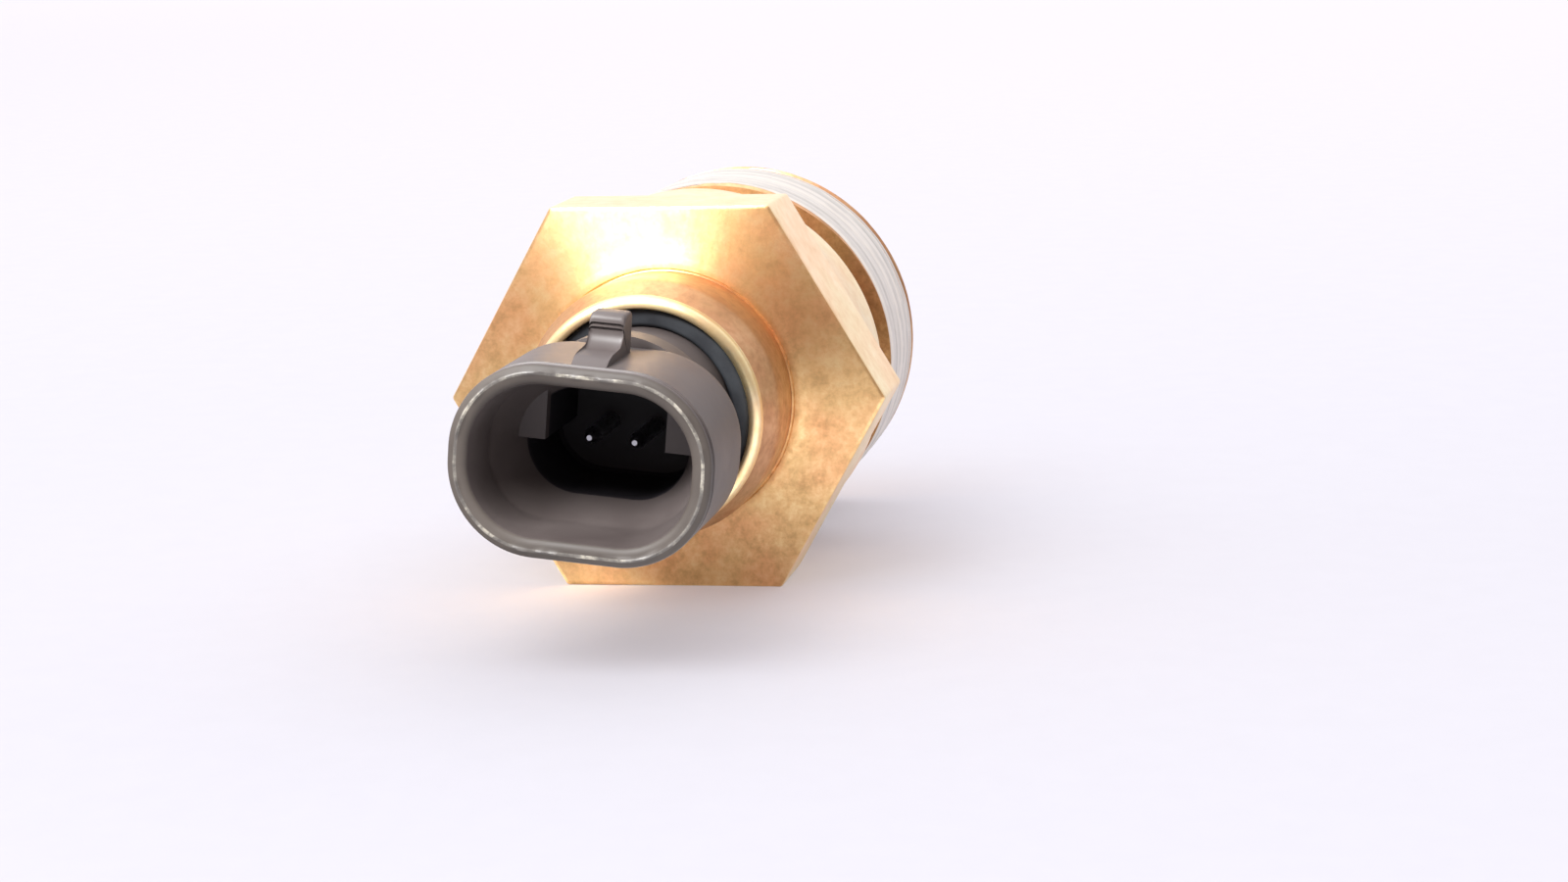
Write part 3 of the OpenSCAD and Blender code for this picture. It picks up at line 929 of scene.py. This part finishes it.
MATERIALS = {
    "turned": brass("brass_face", ((0.75, 0.47, 0.24), (0.92, 0.59, 0.31), (1.0, 0.71, 0.41)),
                    0.46, 600, 0.88, 2600),
    "drawn": brass("brass_drawn", ((0.84, 0.60, 0.37), (0.92, 0.70, 0.46), (0.96, 0.78, 0.55)),
                   0.36, 260, 0.0, 900, drawn=True),
    "collar": brass("brass_collar",
                    ((0.44, 0.245, 0.135), (0.57, 0.335, 0.19), (0.67, 0.425, 0.255)),
                    0.39, 480, 0.4, 1500),
    # darker brass painted on the relief groove as its shade
    "relief_shade": brass("brass_relief_painted_shade", ((0.30, 0.16, 0.07), (0.48, 0.27, 0.13), (0.66, 0.42, 0.22)),
                    0.34, 420, 0.3, 1500),
    "lip": brass("brass_lip", ((0.84, 0.62, 0.34), (0.95, 0.75, 0.46), (0.99, 0.84, 0.58)),
                 0.34, 420, 0.5, 1500),
    "housing": plastic("housing_plastic", (0.056, 0.045, 0.043), (0.075, 0.062, 0.059), 0.46),
    # pale patches on the crest are painted highlights
    "flash": flash_material(),
    # near-black plastic painted in the deep pocket as its shade
    "pocket": plastic("housing_pocket_painted_shade", (0.006, 0.005, 0.007), (0.010, 0.008, 0.011), 0.6),
    # darker copy of the housing plastic, painted on the rim as shade
    "rim": plastic("housing_rim", (0.040, 0.032, 0.027), (0.060, 0.049, 0.041), 0.60),
    "sealant": sealant_material(),
    "rubber": rubber_material(),
    "tin": metal("terminal_tin_plate", (0.50, 0.50, 0.53), (0.36, 0.36, 0.39), 0.30),
    "natural": plastic("insulator_natural", (0.52, 0.45, 0.30), (0.62, 0.55, 0.40), 0.5),
    "silver": metal("contact_silver_face", (0.90, 0.89, 0.87), (0.80, 0.79, 0.76), 0.16),
    "rivet": metal("rivet_brass_face", (0.83, 0.60, 0.32), (0.72, 0.48, 0.24), 0.28),
    "bronze": metal("arm_bronze_strip", (0.76, 0.43, 0.20), (0.64, 0.33, 0.14), 0.27, 1200),
    "spring": metal("spring_steel_drawn", (0.56, 0.57, 0.60), (0.42, 0.43, 0.46), 0.22),
    "steel": metal("inner_steel_turned", (0.60, 0.61, 0.63), (0.48, 0.49, 0.51), 0.30),
    "screen": metal("screen_steel_etched", (0.62, 0.63, 0.65), (0.50, 0.51, 0.52), 0.36),
    "film": film_material(),
}

# CAD nodes shown as they are
NODE_MATERIALS = {
    "housing_o_ring": "rubber", "terminal_carrier": "natural", "fixed_contact": "silver",
    "contact_rivet": "rivet", "contact_arm": "bronze", "moving_contact": "silver",
    "push_rod": "natural", "guide_plate": "natural", "spring_seat": "steel",
    "guide_sleeve": "steel", "piston": "steel", "diaphragm": "film",
    "diaphragm_seal": "rubber", "filter_screen": "screen",
}

# CAD nodes shown by a skin: how it's built, its slot and its materials
SKINS = (
    ("hex_body", build_body, "body_brass", BODY_KEYS),
    ("thread_sealant", build_sealant, "thread_sealant", ("sealant",)),
    ("connector_housing", build_housing, "connector_plastic", HOUSING_KEYS),
    ("flange_gasket", build_gasket, "seal_rubber", ("rubber",)),
    ("terminal_pin_left", build_terminal, "terminal_tin", ("tin",)),
    ("terminal_pin_right", build_terminal, "terminal_tin", ("tin",)),
    ("range_spring", build_copy, "spring_steel", ("spring",)),
    ("snap_disc", build_copy, "spring_steel", ("spring",)),
)


def assemble():
    """Dresses the CAD nodes and stands the skins in for the rest. Gives the skins by node."""
    for node, key in NODE_MATERIALS.items():
        dress(frame["nodes"][node], MATERIALS[key])
    skins = {}
    for node, build, slot, keys in SKINS:
        obj = build(node)
        dress(obj, *[MATERIALS[key] for key in keys])
        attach(obj, "root")
        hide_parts(node)
        skins[node] = obj
    zone_body(skins["hex_body"])
    zone_housing(skins["connector_housing"])
    for node in ("range_spring", "snap_disc"):
        flex_with_piston(skins[node], node)
    return skins


# ---------------------------------------------------------------- studio

FLOOR_HALF = 6.0
# Paper colours near the object, beside it and far behind it: the rise towards the back is painted light
FLOOR_NEAR = (0.615, 0.62, 0.665)
FLOOR_BESIDE = (0.64, 0.645, 0.69)
FLOOR_FAR = (0.93, 0.92, 0.96)
FLOOR_FAR_Y = 0.9


def build_floor():
    """Pale paper with painted light: its colour gets lighter towards the back."""
    half = FLOOR_HALF
    corners = [(x, y, FLOOR_Z) for x, y in ((-half, -half), (half, -half), (half, half), (-half, half))]
    obj = new_object("studio_floor", corners, [(0, 1, 2, 3)])
    mat, nodes, links, bsdf = new_material("studio_paper")
    vector = object_coords(nodes, links)
    split = nodes.new("ShaderNodeSeparateXYZ")
    links.new(vector, split.inputs[0])
    # painted light: the colour brightens with distance behind the object
    depth = map_range(nodes, links, split.outputs["Y"], 0.0, FLOOR_FAR_Y, 0, 1)
    fibre = math_node(nodes, links, "MULTIPLY", noise_tex(nodes, links, vector, 300, 4, 0.6), 0.1)
    tone = math_node(nodes, links, "ADD", depth, fibre)
    colour = ramp(nodes, links, tone, ((0.0, FLOOR_NEAR), (0.1, FLOOR_BESIDE), (1.0, FLOOR_FAR)))
    links.new(colour, bsdf.inputs["Base Color"])
    bsdf.inputs["Roughness"].default_value = 0.9
    bsdf.inputs["Specular IOR Level"].default_value = 0.1
    dress(obj, mat)
    return obj


def group(name, members):
    """A collection for light linking, outside the scene's own tree."""
    collection = bpy.data.collections.new(name)
    for member in members:
        collection.objects.link(member)
    return collection


def area_light(name, place, target, size, power, lights, casts, colour=(1.0, 1.0, 1.0)):
    """A rectangular softbox. It lights only the pieces in lights, with shadows only from casts."""
    data = bpy.data.lights.new(name, "AREA")
    data.shape = "RECTANGLE"
    data.size, data.size_y = size
    data.energy = power
    data.color = colour
    obj = bpy.data.objects.new(name, data)
    obj.visible_camera = False
    bpy.context.scene.collection.objects.link(obj)
    obj.location = place
    obj.rotation_euler = (Vector(target) - Vector(place)).to_track_quat("-Z", "Y").to_euler()
    obj.light_linking.receiver_collection = group(name + "_lights", lights)
    obj.light_linking.blocker_collection = group(name + "_shadows", casts)


def build_world():
    """Studio surround: pale above and behind the object, dark in front and to the right."""
    world = bpy.data.worlds.new("studio_world")
    bpy.context.scene.world = world
    world.use_nodes = True
    nodes, links = world.node_tree.nodes, world.node_tree.links
    back = nodes["Background"]
    coord = nodes.new("ShaderNodeTexCoord")
    side = nodes.new("ShaderNodeVectorMath")
    side.operation = "DOT_PRODUCT"
    side.inputs[1].default_value = (-0.35, 0.55, 0.75)
    links.new(coord.outputs["Generated"], side.inputs[0])
    fac = map_range(nodes, links, side.outputs["Value"], -1, 1, 0, 1)
    colour = ramp(nodes, links, fac, ((0.25, (0.34, 0.27, 0.25)), (0.40, (0.48, 0.40, 0.38)),
                                      (0.60, (0.70, 0.64, 0.65)), (0.75, (0.96, 0.95, 1.0))))
    links.new(colour, back.inputs["Color"])
    back.inputs["Strength"].default_value = 1.15


# The camera that was fitted to the corners of the hexagon in the photo: degrees, lens in mm
CAMERA_PLACE = (51.449 * MM, -240.234 * MM, 38.58 * MM)
CAMERA_TURN = (79.3467, 1.9401, 10.8710)
CAMERA_LENS = 74.22


def build_camera():
    data = bpy.data.cameras.new("camera")
    data.sensor_width = 36.0
    data.lens = CAMERA_LENS
    data.clip_start = 0.01
    obj = bpy.data.objects.new("camera", data)
    bpy.context.scene.collection.objects.link(obj)
    obj.location = CAMERA_PLACE
    obj.rotation_euler = [math.radians(d) for d in CAMERA_TURN]
    bpy.context.scene.camera = obj


def build_lights(floor, sealant):
    """Softboxes. The object and the table have their own, as the table would be blown out."""
    pieces = [obj for obj in bpy.data.objects if obj.type == "MESH" and obj != floor]
    # the white sealant would be blown out by the light that the brass face needs
    not_white = [obj for obj in pieces if obj != sealant]
    table = [floor]
    area_light("top_softbox", (-0.22, -0.05, 0.5), (0, -0.02, 0), (0.7, 0.7), 0.7, pieces, pieces)
    area_light("overhead_fill", (-0.08, 0.05, 0.5), (0, -0.02, 0), (0.6, 0.6), 1.2, pieces, pieces)
    area_light("front_softbox", (-0.155, -0.29, 0.30), (0, -0.03, 0), (0.27, 0.10), 5.4,
               not_white, pieces)
    area_light("table_bounce", (0.045, -0.06, FLOOR_Z + MM), (0.045, -0.06, 1), (0.10, 0.05), 0.017,
               pieces, pieces)
    area_light("floor_key", (-0.22, -0.28, 0.5), (0, -0.02, 0), (0.45, 0.45), 1.1,
               table, pieces, (0.93, 0.97, 1.0))
    area_light("floor_fill", (0, 0, 0.8), (0, 0.01, 0), (0.8, 0.8), 2.95,
               table, table, (1.0, 0.92, 0.90))


def build_studio(sealant):
    floor = build_floor()
    build_world()
    build_camera()
    build_lights(floor, sealant)
    view = bpy.context.scene.view_settings
    view.view_transform = "Standard"
    view.look = "None"


skins = assemble()
build_studio(skins["thread_sealant"])
